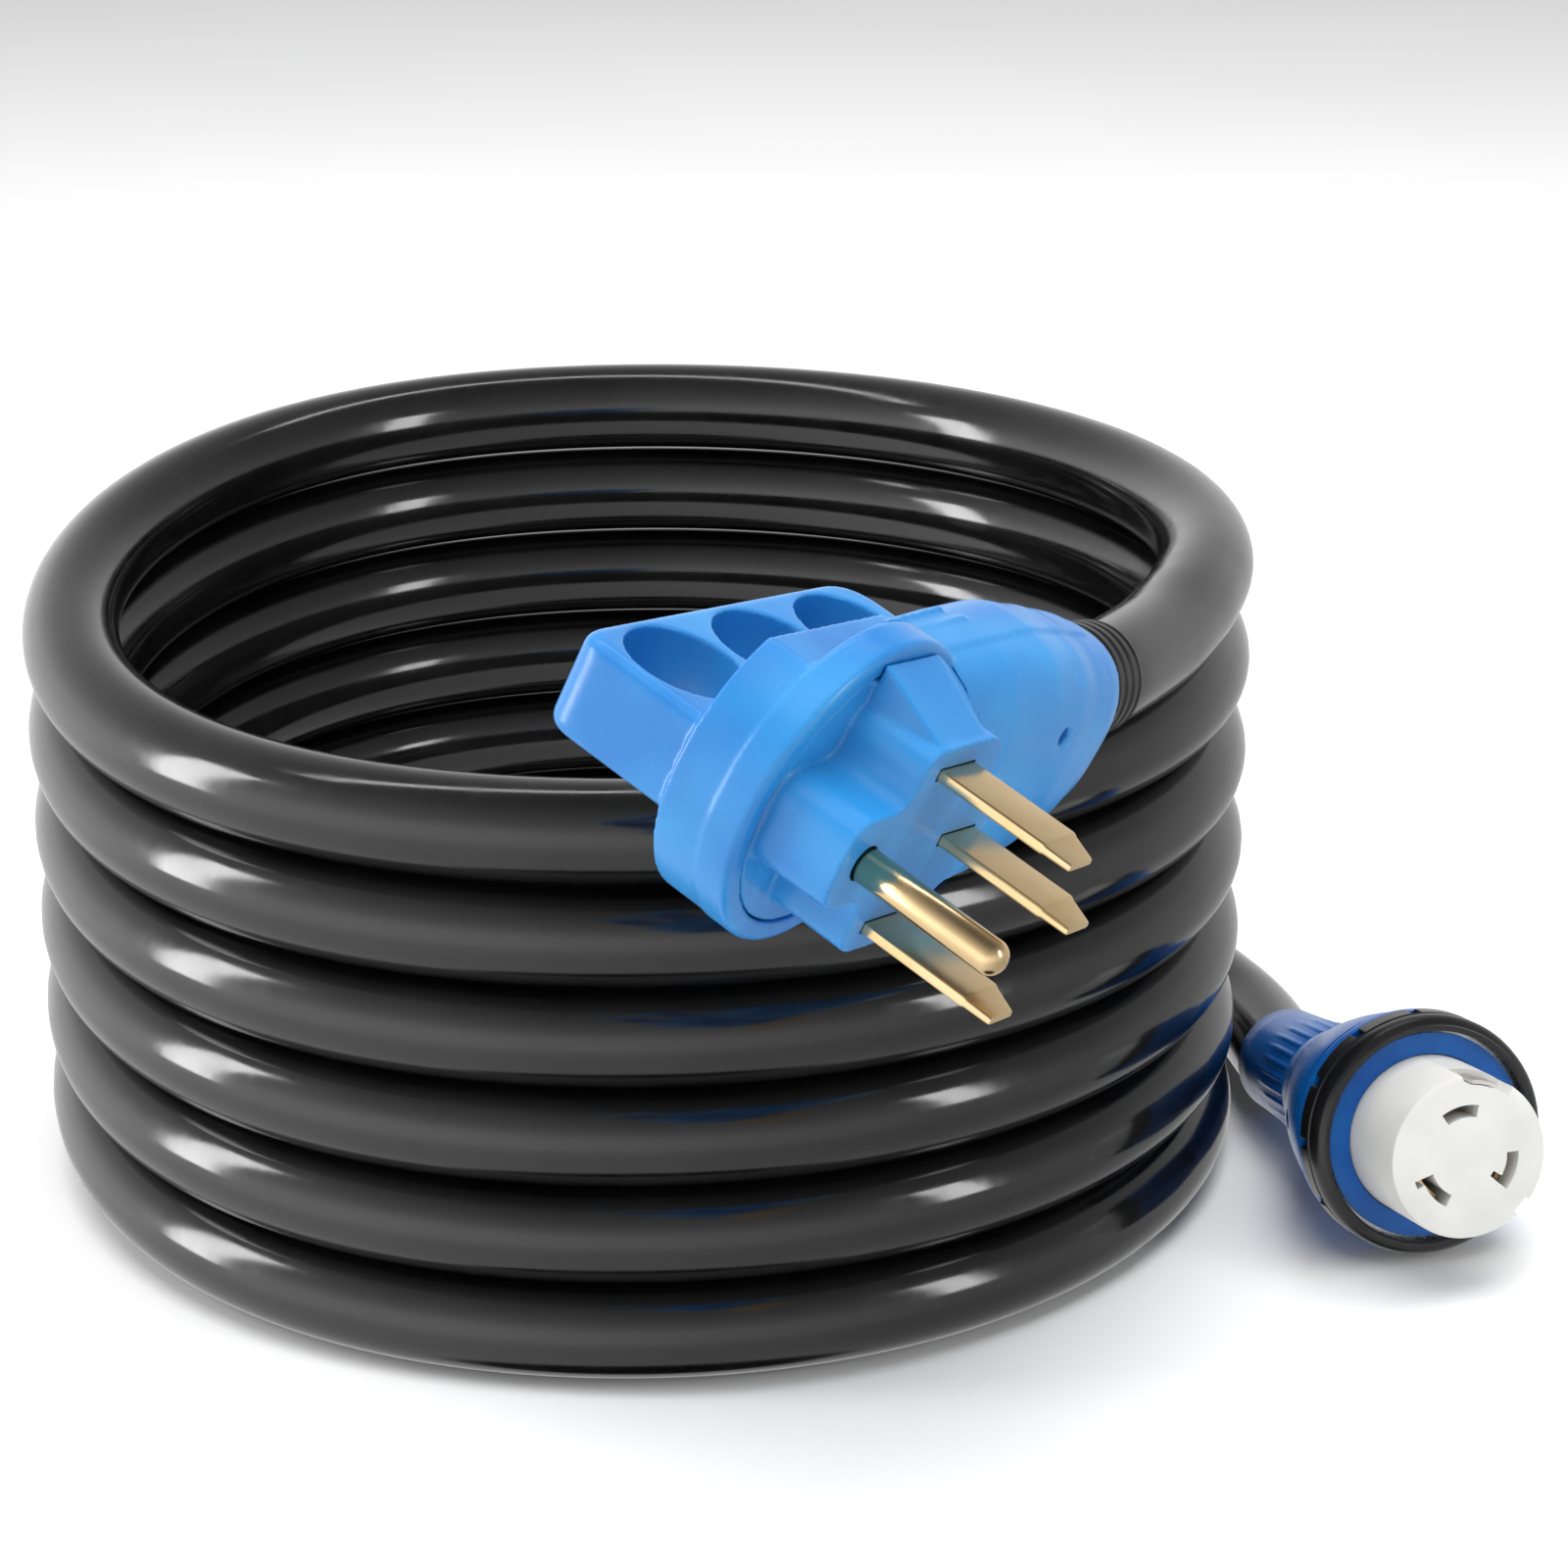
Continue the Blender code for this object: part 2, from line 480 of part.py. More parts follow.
terminal_top = BARREL_BACK - GAP
along_z("terminal_plate", circle(BARREL_R - 0.3, 64), terminal_top - 5, terminal_top, wire_black, connector)
posts = {"x": (SLOT_AT[0], wire_black), "y": (SLOT_AT[1], wire_red), "neutral": (SLOT_AT[2], wire_white),
         "ground": (GROUND_POST_AT, wire_green)}
for name, (angle, finish) in posts.items():
    a = math.radians(angle)
    x, y = 12.0 * math.cos(a), 12.0 * math.sin(a)
    top = terminal_top - 5 - GAP
    along_z(f"terminal_{name}", circle(3.0, 24, (x, y)), top - 7, top, brass, connector)
    inner = (4.6 * math.cos(a), 4.6 * math.sin(a))
    path = [(x, y, top - 7 - GAP), (x, y, top - 10), (x * 0.72, y * 0.72, top - 18),
            (*inner, -56.0), (*inner, CABLE_IN + GAP)]
    tube(f"connector_wire_{name}", smooth(path, 6), WIRE_R, finish, connector, 2)

# Connector: cable nut with its ribs, and the rubber grommet inside it -------------------------------
turned("cable_nut", [
    (NUT_R, NUT_FROM), (NUT_R + 0.4, -58.0), (NUT_R, -70.0), (15.0, -82.0), (14.4, NUT_TO),
    (CABLE_R + GAP, NUT_TO), (CABLE_R + GAP, -73.0), (THREAD_R + GAP, -72.0), (THREAD_R + GAP, NUT_FROM)],
    shell_blue, connector)
grommet_in, grommet_low, grommet_high = CABLE_R + GAP, -71.5, -62.0
turned("cable_grommet", [(THREAD_R, grommet_high), (THREAD_R, grommet_low), (grommet_in, grommet_low),
                         (grommet_in, grommet_high)], seal_rubber, connector)
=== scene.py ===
"""Looks of the shore power cord: its camera, the cable in its coil, the plug, the connector and the light.

The plug and the connector are shaped in millimetres in their own frames, as in the CAD:
the plug's X runs along its blades, Y to the cable and Z up through its finger holes, and
the connector's Z runs out of its face with X towards the floor.
"""

import json
import math

import bmesh
import bpy
from mathutils import Euler, Matrix, Vector


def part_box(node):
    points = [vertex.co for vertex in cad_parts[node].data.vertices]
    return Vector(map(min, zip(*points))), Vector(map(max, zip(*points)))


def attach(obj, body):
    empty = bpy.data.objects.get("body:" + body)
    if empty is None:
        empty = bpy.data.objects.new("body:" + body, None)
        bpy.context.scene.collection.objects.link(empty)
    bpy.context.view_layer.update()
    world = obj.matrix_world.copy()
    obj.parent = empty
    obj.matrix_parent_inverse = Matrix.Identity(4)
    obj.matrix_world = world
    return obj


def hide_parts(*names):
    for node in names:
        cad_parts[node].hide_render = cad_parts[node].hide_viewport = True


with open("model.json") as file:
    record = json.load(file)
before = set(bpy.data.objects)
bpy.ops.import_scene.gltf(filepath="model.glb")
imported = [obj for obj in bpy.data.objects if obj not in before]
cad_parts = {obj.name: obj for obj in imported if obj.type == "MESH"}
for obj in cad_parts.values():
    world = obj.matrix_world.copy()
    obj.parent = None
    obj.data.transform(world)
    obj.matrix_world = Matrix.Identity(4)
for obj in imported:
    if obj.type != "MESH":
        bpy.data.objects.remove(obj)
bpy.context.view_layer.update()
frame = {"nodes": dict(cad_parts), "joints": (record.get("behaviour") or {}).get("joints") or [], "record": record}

MM = 0.001
ROOT, RING = "cord_set", "lock_ring"

# Cable and coil, in metres ------------------------------------------------------------------------
CABLE_D = 0.025
CABLE_R = CABLE_D / 2
COIL_R = 6 * CABLE_D
LAYER = 1.026 * CABLE_D
LAYERS_DOWN = 6
STEP_FROM, STEP_TO = 98.0, 256.0
COIL_START, COIL_END = -15.0, 92.0
COIL_STEP, ROUTE_SPACING = 1.5, 0.004

# Plug and connector, in millimetres ---------------------------------------------------------------
PLUG_TURN = (-9.2, 22.4, -36.3)
BLADE_FACE_MOUNT = (0.0, -5.0, 8.0)
LINE_SPACING, NEUTRAL_Y, GROUND_Y = 38.5, 16.2, -21.5
BLADE_LONG, BLADE_WIDE, BLADE_THICK, BLADE_BACK = 35.0, 14.0, 2.6, -31.0
PIN_LONG, PIN_R = 37.5, 4.0
NOSE_LONG, COLLAR_R, COLLAR_LONG = 20.0, 37.7, 21.0
HANDLE_BACK, HANDLE_LEFT, HANDLE_RIGHT, HANDLE_THICK = -76.0, -35.5, 72.0, 23.0
HOLE_X_R, HOLE_Y_R, HOLE_PITCH, HOLE_X = 13.8, 15.2, 33.3, -58.5
FLAT_FROM, FLAT_TOP = 9.5, 29.5
GLAND_X, GLAND_Z, GLAND_END = -26.0, 10.0, 95.0
RELIEF_FROM, RELIEF_TO = 84.0, 112.0
POCKET_R, DISC_THICK, WELL_R, WELL_DEEP = 32.5, 5.0, 27.0, 17.0
LAMP_Y, LAMP_Z, LAMP_R = 66.2, 12.0, 2.0
BACK_PROUD = 0.7
RING_OUT, RING_IN, RING_HALF, NOTCHES = 31.5, 27.3, 6.0, 12
BARREL_R, BARREL_FRONT, BARREL_BACK = 21.0, 28.5, -19.0
SLOT_IN, SLOT_OUT, SLOT_ARC = 10.4, 13.6, 44.0
SLOT_AT = (189.0, 69.0, 309.0)
KEY_AT, SIDE_NOTCH_AT = 163.0, 45.0
NUT_TO, NUT_RIBS, NUT_RIB_DEEP = -90.0, 28, 0.45
CABLE_IN = -66.0
GAP = 0.3

# Places, from the frame ---------------------------------------------------------------------------
coil_low, coil_high = (Vector(corner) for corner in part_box("cable_coil"))
coil_axis = Vector(((coil_low.x + coil_high.x) / 2, (coil_low.y + coil_high.y) / 2, 0))
coil_middle = coil_axis + Vector((0, 0, (coil_low.z + coil_high.z) / 2))

mounts = {mount["name"]: mount for mount in frame["record"]["mounts"]}
plug_rotation = Euler([math.radians(a) for a in PLUG_TURN]).to_matrix()
plug_origin = Vector(mounts["blade_face"]["pos_m"]) - plug_rotation @ (Vector(BLADE_FACE_MOUNT) * MM)
PLUG = Matrix.Translation(plug_origin) @ plug_rotation.to_4x4() @ Matrix.Scale(MM, 4)

ring_joint = frame["joints"][0]
out_of_face = Vector(ring_joint["axis"]).normalized()
down = (Vector((0, 0, -1)) - out_of_face * Vector((0, 0, -1)).dot(out_of_face)).normalized()
connector_rotation = Matrix((down, out_of_face.cross(down), out_of_face)).transposed()
CONNECTOR = (Matrix.Translation(ring_joint["pos_m"]) @ connector_rotation.to_4x4()
             @ Matrix.Scale(MM, 4))

# Camera -------------------------------------------------------------------------------------------
CAMERA_DOWN, CAMERA_AWAY, CAMERA_RIGHT, CAMERA_UP = math.radians(19.8), 1.046, 0.0386, 0.0085
forward = Vector((0, math.cos(CAMERA_DOWN), -math.sin(CAMERA_DOWN)))
upward = Vector((0, math.sin(CAMERA_DOWN), math.cos(CAMERA_DOWN)))
lens = bpy.data.cameras.new("camera")
lens.lens, lens.sensor_width = 88.0, 36.0
camera = bpy.data.objects.new("camera", lens)
camera.location = (coil_middle + Vector((CAMERA_RIGHT, 0, 0)) + upward * CAMERA_UP
                   - forward * CAMERA_AWAY)
camera.rotation_euler = (math.pi / 2 - CAMERA_DOWN, 0, 0)
bpy.context.collection.objects.link(camera)
bpy.context.scene.camera = camera


# Cable --------------------------------------------------------------------------------------------
def layers_left(degrees):
    """How many layers the cable still has to come down at this angle, counted on from the first turn."""
    left = LAYERS_DOWN
    for turn in range(LAYERS_DOWN):
        t = min(1.0, max(0.0, (degrees - STEP_FROM - 360 * turn) / (STEP_TO - STEP_FROM)))
        left -= t - math.sin(2 * math.pi * t) / (2 * math.pi)
    return left


def on_coil(degrees):
    """The middle of the cable at this angle along the coil."""
    a = math.radians(degrees)
    height = CABLE_R + LAYER * layers_left(degrees)
    return coil_axis + Vector((COIL_R * math.cos(a), COIL_R * math.sin(a), height))


def tangent(degrees):
    """The way along the coil at this angle."""
    a = math.radians(degrees)
    return Vector((-math.sin(a), math.cos(a), 0))


def smooth(route, spacing):
    """Points about this far apart on one smooth curve through the route's points."""
    route = [Vector(p) for p in route]
    ends = [route[0] * 2 - route[1]] + route + [route[-1] * 2 - route[-2]]
    made = []
    for a, b, c, d in zip(ends, ends[1:], ends[2:], ends[3:]):
        pieces = max(1, round((c - b).length / spacing))
        for k in range(pieces):
            t = k / pieces
            made.append(0.5 * (2 * b + (c - a) * t + (2 * a - 5 * b + 4 * c - d) * t * t
                               + (3 * b - a - 3 * c + d) * t ** 3))
    return made + [route[-1]]


def from_coil_axis(x, y, z=CABLE_R):
    return coil_axis + Vector((x, y, z))


plug_route = [PLUG @ Vector((GLAND_X, y, GLAND_Z)) for y in (RELIEF_FROM + 2, 100, RELIEF_TO + 4)]
plug_route += [from_coil_axis(0.1285, -0.088, 0.1668), from_coil_axis(0.138, -0.0625, 0.1664),
               on_coil(COIL_START) - tangent(COIL_START) * 0.012]
coil_route = [on_coil(COIL_START + COIL_STEP * k)
              for k in range(round((360 * LAYERS_DOWN + COIL_END - COIL_START) / COIL_STEP) + 1)]
floor_route = [on_coil(360 * LAYERS_DOWN + COIL_END) + tangent(COIL_END) * 0.013]
floor_route += [from_coil_axis(x, y) for x, y in (
    (-0.057, 0.1625), (-0.093, 0.187), (-0.117, 0.222), (-0.124, 0.264), (-0.116, 0.307), (-0.091, 0.345),
    (-0.053, 0.371), (-0.009, 0.380), (0.035, 0.371), (0.072, 0.347), (0.097, 0.309), (0.112, 0.262),
    (0.124, 0.212), (0.134, 0.165), (0.1435, 0.122), (0.1532, 0.093))]
floor_route += [from_coil_axis(0.164, 0.067, CABLE_R + 0.0001),
                from_coil_axis(0.1732, 0.040, CABLE_R + 0.0005)]
floor_route += [CONNECTOR @ Vector((0, 0, z)) for z in (NUT_TO - 2, NUT_TO + 6, CABLE_IN - 8)]
cable_route = smooth(plug_route + coil_route + floor_route, ROUTE_SPACING)

cable_line = bpy.data.curves.new("cable", "CURVE")
cable_line.dimensions, cable_line.bevel_depth, cable_line.bevel_resolution = "3D", CABLE_R, 14
cable_line.use_fill_caps = True
spline = cable_line.splines.new("POLY")
spline.points.add(len(cable_route) - 1)
for spot, place in zip(spline.points, cable_route):
    spot.co = (*place, 1.0)
cable_curve = bpy.data.objects.new("cable_curve", cable_line)
bpy.context.collection.objects.link(cable_curve)
evaluated_curve = cable_curve.evaluated_get(bpy.context.evaluated_depsgraph_get())
cable_mesh = bpy.data.meshes.new_from_object(evaluated_curve)
bpy.data.objects.remove(cable_curve, do_unlink=True)
cable = bpy.data.objects.new("cable", cable_mesh)
bpy.context.collection.objects.link(cable)
cable_mesh.shade_smooth()
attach(cable, ROOT)
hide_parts("cable_coil", "plug_lead", "connector_lead")


# Shapes -------------------------------------------------------------------------------------------
def solid(name, rings, place, closed=False):
    """A closed mesh through rings of points that all have the same number of points."""
    n = len(rings[0])
    faces = []
    for i in range(len(rings) if closed else len(rings) - 1):
        a, b = i * n, (i + 1) % len(rings) * n
        faces += [(a + k, a + (k + 1) % n, b + (k + 1) % n, b + k) for k in range(n)]
    if not closed:
        faces += [tuple(range(n))[::-1], tuple(range((len(rings) - 1) * n, len(rings) * n))]
    mesh = bpy.data.meshes.new(name)
    mesh.from_pydata([place @ Vector(p) for ring in rings for p in ring], [], faces)
    shape = bmesh.new()
    shape.from_mesh(mesh)
    bmesh.ops.recalc_face_normals(shape, faces=shape.faces)
    shape.to_mesh(mesh)
    shape.free()
    made = bpy.data.objects.new(name, mesh)
    bpy.context.collection.objects.link(made)
    return made


def circle(radius, sides, at=(0.0, 0.0)):
    angles = [2 * math.pi * i / sides for i in range(sides)]
    return [(at[0] + radius * math.cos(a), at[1] + radius * math.sin(a)) for a in angles]


def rounded(outline, steps=10):
    """An outline of (a, b, radius) corners with each corner turned into an arc."""
    made = []
    for i, (a, b, radius) in enumerate(outline):
        here = Vector((a, b))
        back = (Vector(outline[i - 1][:2]) - here).normalized()
        on = (Vector(outline[(i + 1) % len(outline)][:2]) - here).normalized()
        cut = radius / math.tan(back.angle(on) / 2)
        start, end = here + back * cut, here + on * cut
        for k in range(steps + 1):
            t = k / steps
            made.append(tuple(start * (1 - t) ** 2 + here * (2 * t * (1 - t)) + end * t ** 2))
    return made


def along_x(name, outline, low, high):
    """An outline of (y, z) points drawn out along the plug's X."""
    return solid(name, [[(x, y, z) for y, z in outline] for x in (low, high)], PLUG)


def along_z(name, outline, low, high, place):
    """An outline of (x, y) points drawn out along Z in this frame."""
    return solid(name, [[(x, y, z) for x, y in outline] for z in (low, high)], place)


def turned(name, profile, sides, place):
    """A closed profile of (radius, height) points turned round Z."""
    rings = []
    for i in range(sides):
        c, s = math.cos(2 * math.pi * i / sides), math.sin(2 * math.pi * i / sides)
        rings.append([(r * c, r * s, h) for r, h in profile])
    return solid(name, rings, place, closed=True)


def arc(inner, outer, middle, spread, steps=24):
    """The outline of a curved slot from one radius to another, round this angle."""
    angles = [math.radians(middle - spread / 2 + spread * k / steps) for k in range(steps + 1)]
    return ([(outer * math.cos(a), outer * math.sin(a)) for a in angles]
            + [(inner * math.cos(a), inner * math.sin(a)) for a in reversed(angles)])


def apply_modifiers(piece):
    evaluated = piece.evaluated_get(bpy.context.evaluated_depsgraph_get())
    mesh = bpy.data.meshes.new_from_object(evaluated)
    piece.modifiers.clear()
    piece.data = mesh


def combine(piece, tools, operation):
    """Cuts the tools out of the piece or joins them to it, and removes them."""
    for tool in tools:
        step = piece.modifiers.new(tool.name, "BOOLEAN")
        step.operation, step.solver, step.object = operation, "EXACT", tool
    apply_modifiers(piece)
    for tool in tools:
        bpy.data.objects.remove(tool, do_unlink=True)


def moulded(piece, grain, passes):
    """Gives the piece an even fine mesh and melts its edges together, as in a moulding."""
    remesh = piece.modifiers.new("fine", "REMESH")
    remesh.mode, remesh.voxel_size = "VOXEL", grain * MM
    soften = piece.modifiers.new("soften", "SMOOTH")
    soften.factor, soften.iterations = 0.5, passes
    apply_modifiers(piece)
    piece.data.shade_smooth()


def crisp(piece, width, angle):
    """Rounds the piece's edges that are sharper than this angle, by this width."""
    bevel = piece.modifiers.new("round_over", "BEVEL")
    bevel.width, bevel.segments, bevel.limit_method = width * MM, 3, "ANGLE"
    bevel.angle_limit = math.radians(angle)
    bevel.harden_normals = True
    piece.data.shade_smooth()
    apply_modifiers(piece)


def finish_piece(piece, material, slot, body, *nodes):
    piece.data.materials.clear()
    piece.data.materials.append(material)
    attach(piece, body)
    if nodes:
        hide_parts(*nodes)


# Materials ----------------------------------------------------------------------------------------
class Finish:
    """A Principled material that is being wired up."""

    def __init__(self, name, **sockets):
        self.material = bpy.data.materials.new(name)
        self.material.use_nodes = True
        self.nodes, self.links = self.material.node_tree.nodes, self.material.node_tree.links
        self.shader = self.nodes["Principled BSDF"]
        self.place = self.nodes.new("ShaderNodeTexCoord").outputs["Object"]
        for socket, value in sockets.items():
            self.shader.inputs[socket.replace("_", " ")].default_value = value

    def noise(self, scale, detail=3.0, stretch=None, rough=0.5):
        """Noise of this many lumps per metre, stretched along an axis if asked."""
        made = self.nodes.new("ShaderNodeTexNoise")
        made.inputs["Scale"].default_value = scale
        made.inputs["Detail"].default_value = detail
        made.inputs["Roughness"].default_value = rough
        if stretch:
            mapping = self.nodes.new("ShaderNodeMapping")
            mapping.inputs["Scale"].default_value = stretch
            self.links.new(self.place, mapping.inputs["Vector"])
            self.links.new(mapping.outputs["Vector"], made.inputs["Vector"])
        else:
            self.links.new(self.place, made.inputs["Vector"])
        return made.outputs["Fac"]

    def spread(self, value, low, high, start=0.35, end=0.65):
        """The value's range from start to end, stretched to run from low to high."""
        made = self.nodes.new("ShaderNodeMapRange")
        for socket, number in (("From Min", start), ("From Max", end), ("To Min", low), ("To Max", high)):
            made.inputs[socket].default_value = number
        self.links.new(value, made.inputs["Value"])
        return made.outputs["Result"]

    def blend(self, value, first, second):
        made = self.nodes.new("ShaderNodeMix")
        made.data_type = "RGBA"
        made.inputs["A"].default_value, made.inputs["B"].default_value = (*first, 1), (*second, 1)
        self.links.new(value, made.inputs["Factor"])
        return made.outputs["Result"]

    def colour(self, value, first, second):
        self.links.new(self.blend(value, first, second), self.shader.inputs["Base Color"])

    def roughness(self, value):
        self.links.new(value, self.shader.inputs["Roughness"])

    def bump(self, height, distance, strength=1.0):
        made = self.nodes.new("ShaderNodeBump")
        made.inputs["Distance"].default_value, made.inputs["Strength"].default_value = distance, strength
        self.links.new(height, made.inputs["Height"])
        self.links.new(made.outputs["Normal"], self.shader.inputs["Normal"])


def moulded_plastic(name, light, deep, rough, cloud=45.0, **sockets):
    """Moulded plastic: soft clouds of colour, a faint grain and a sheen that wavers."""
    made = Finish(name, **sockets)
    made.colour(made.spread(made.noise(cloud, 2.0), 0.0, 1.0), light, deep)
    made.roughness(made.spread(made.noise(90.0, 2.0), *rough, 0.2, 0.8))
    made.bump(made.noise(320.0, 1.0), 0.00002, 0.2)
    return made.material


def drawn_metal(name, light, deep, rough, stretch):
    """Bright metal with fine lines from drawing and stamping."""
    made = Finish(name, Metallic=1.0)
    made.colour(made.spread(made.noise(90.0, 3.0), 0.0, 1.0), light, deep)
    made.roughness(made.spread(made.noise(700.0, 3.0, stretch), *rough))
    made.bump(made.noise(900.0, 2.0, stretch), 0.00001, 0.35)
    return made.material


def cable_pvc():
    """Glossy black jacket with faint waves from the extruder and light scuffs."""
    made = Finish("cable_pvc", Specular_IOR_Level=0.8)
    made.colour(made.spread(made.noise(30.0, 4.0), 0.0, 1.0), (0.003, 0.003, 0.003), (0.006, 0.006, 0.006))
    made.roughness(made.spread(made.noise(120.0, 6.0, rough=0.65), 0.10, 0.19, 0.3, 0.7))
    made.bump(made.noise(90.0, 4.0), 0.00010, 0.35)
    return made.material


plug_pvc = moulded_plastic(
    "plug_pvc_blue", (0.028, 0.245, 0.57), (0.013, 0.165, 0.48), (0.24, 0.34), 25.0,
    Subsurface_Weight=0.05, Subsurface_Scale=0.003, Subsurface_Radius=(0.15, 0.5, 1.0),
    Specular_IOR_Level=0.5)
nose_nylon = moulded_plastic(
    "nose_nylon_blue", (0.028, 0.250, 0.58), (0.013, 0.170, 0.49), (0.24, 0.34), 25.0,
    Subsurface_Weight=0.05, Subsurface_Scale=0.003, Subsurface_Radius=(0.15, 0.5, 1.0))
shell_nylon = moulded_plastic(
    "shell_nylon_blue", (0.003, 0.120, 0.43), (0.002, 0.080, 0.34), (0.22, 0.32),
    Subsurface_Weight=0.06, Subsurface_Scale=0.002, Specular_IOR_Level=0.35)
ring_nylon = moulded_plastic(
    "ring_nylon_black", (0.006, 0.006, 0.007), (0.010, 0.010, 0.011), (0.24, 0.36), 80.0)
barrel_resin = moulded_plastic(
    "barrel_resin_white", (0.67, 0.67, 0.65), (0.61, 0.61, 0.58), (0.34, 0.46), 60.0,
    Subsurface_Weight=0.08, Subsurface_Scale=0.002)
brass = drawn_metal(
    "drawn_brass", (0.83, 0.62, 0.35), (0.78, 0.56, 0.29), (0.16, 0.24), (1.0, 8.0, 8.0))
relief_rubber = moulded_plastic(
    "relief_rubber_black", (0.006, 0.006, 0.006), (0.010, 0.010, 0.010), (0.3, 0.42))
pale_tin = drawn_metal(
    "tinned_strip", (0.80, 0.78, 0.73), (0.70, 0.68, 0.64), (0.30, 0.42), (1.0, 1.0, 6.0))
copper = drawn_metal(
    "crimp_copper_bright", (0.74, 0.42, 0.28), (0.60, 0.30, 0.18), (0.25, 0.45), (1.0, 1.0, 1.0))
steel = drawn_metal(
    "spring_steel", (0.62, 0.63, 0.65), (0.45, 0.46, 0.48), (0.20, 0.38), (1.0, 1.0, 6.0))
rubber = moulded_plastic(
    "soft_rubber_black", (0.018, 0.018, 0.018), (0.030, 0.030, 0.030), (0.6, 0.8))
lamp_lens = moulded_plastic(
    "lamp_lens_blue", (0.01, 0.04, 0.26), (0.02, 0.07, 0.36), (0.08, 0.16), Coat_Weight=0.5)
insulation = {colour: moulded_plastic(f"insulation_{colour}", light, deep, (0.30, 0.42))
              for colour, light, deep in (("black", (0.02, 0.02, 0.02), (0.03, 0.03, 0.03)),
                                          ("red", (0.55, 0.03, 0.03), (0.42, 0.02, 0.02)),
                                          ("white", (0.80, 0.80, 0.78), (0.70, 0.70, 0.66)),
                                          ("green", (0.02, 0.30, 0.07), (0.02, 0.22, 0.05)))}
cable_mesh.materials.clear()
cable_mesh.materials.append(cable_pvc())


# Plug: shell --------------------------------------------------------------------------------------
def oval(y, x_mid, x_half, z_mid, z_half, power, sides=120):
    """A squarish oval in the plane across the cable, at y."""
    ring = []
    for i in range(sides):
        c, s = math.cos(2 * math.pi * i / sides), math.sin(2 * math.pi * i / sides)
        ring.append((x_mid + x_half * math.copysign(abs(c) ** (2 / power), c), y,
                     z_mid - z_half * math.copysign(abs(s) ** (2 / power), s)))
    return ring


# The dome's main ovals: y, middle and half size along x, middle and half size along z, squareness
DOME = [(-4, -28, 7, -2, 24, 2.5), (11.5, -28, 13.5, -1, 28, 2.6), (13.5, -28, 17, -1, 32, 3.0),
        (40, -27, 20, -1, 32.5, 3.0), (58, -27, 20, 0, 31.5, 3.0), (72, -26.5, 19.5, 0.5, 29, 2.8),
        (82, -26.5, 19, 1, 26.5, 2.6), (GLAND_END - 5, -26.2, 18, 3.2, 23, 2.5),
        (GLAND_END, GLAND_X, 16.3, 7, 18.3, 2.4)]


def dome_sections(proud):
    """The dome's sections, eased from each main one to the next and this much bigger all round."""
    sizes, steps = [], 8
    straight_to, straight_from = 14, 90
    for b, c in zip(DOME, DOME[1:]):
        for k in range(steps):
            t = k / steps
            eased = t if b[0] < straight_to or c[0] > straight_from else t * t * (3 - 2 * t)
            share = 0.5 * t + 0.5 * eased
            sizes.append([b[0] + (c[0] - b[0]) * t] + [q + (r - q) * share for q, r in zip(b[1:], c[1:])])
    sizes.append(DOME[-1])
    return [oval(y, x, xh + proud, z, zh + proud, power) for y, x, xh, z, zh, power in sizes]


def handle_outline(inset):
    """The slab's outline from above, this much smaller at its back and its sides."""
    back, left, right = HANDLE_BACK + inset, HANDLE_LEFT + inset, HANDLE_RIGHT - inset
    front = -32
    return rounded([(back, left, 9 - inset), (front, left, 3),
                    (front, right, 3), (back, right, 12 - inset)], 12)


def plug_handle():
    """The slab with its long edges rounded over."""
    rings, edge = [], 3.2
    for side in (-1, 1):
        for k in range(7)[::side]:
            a = math.pi / 2 * k / 6
            rings.append([(x, y, side * (HANDLE_THICK / 2 - edge + edge * math.cos(a)))
                          for x, y in handle_outline(edge * (1 - math.sin(a)))])
    return solid("handle", sorted(rings, key=lambda ring: ring[0][2]), PLUG)


def hood(name, back, front, grown):
    """The slope from the nose's top lobe to the collar's rim, bigger all round by this much."""
    sections, mid_y, mid_z = [], 8, 10
    for x, outline in ((back, ((-11, 5), (34, 5), (33.5, 14), (24, 27.5), (10, 34.5), (-11, 34.5))),
                       (front, ((-9, 4), (15, 4), (15.4, 12), (15, 20), (10, 25), (-9, 25)))):
        sections.append([(x, y + math.copysign(grown, y - mid_y), z + math.copysign(grown, z - mid_z))
                         for y, z in outline])
    return solid(name, sections, PLUG)


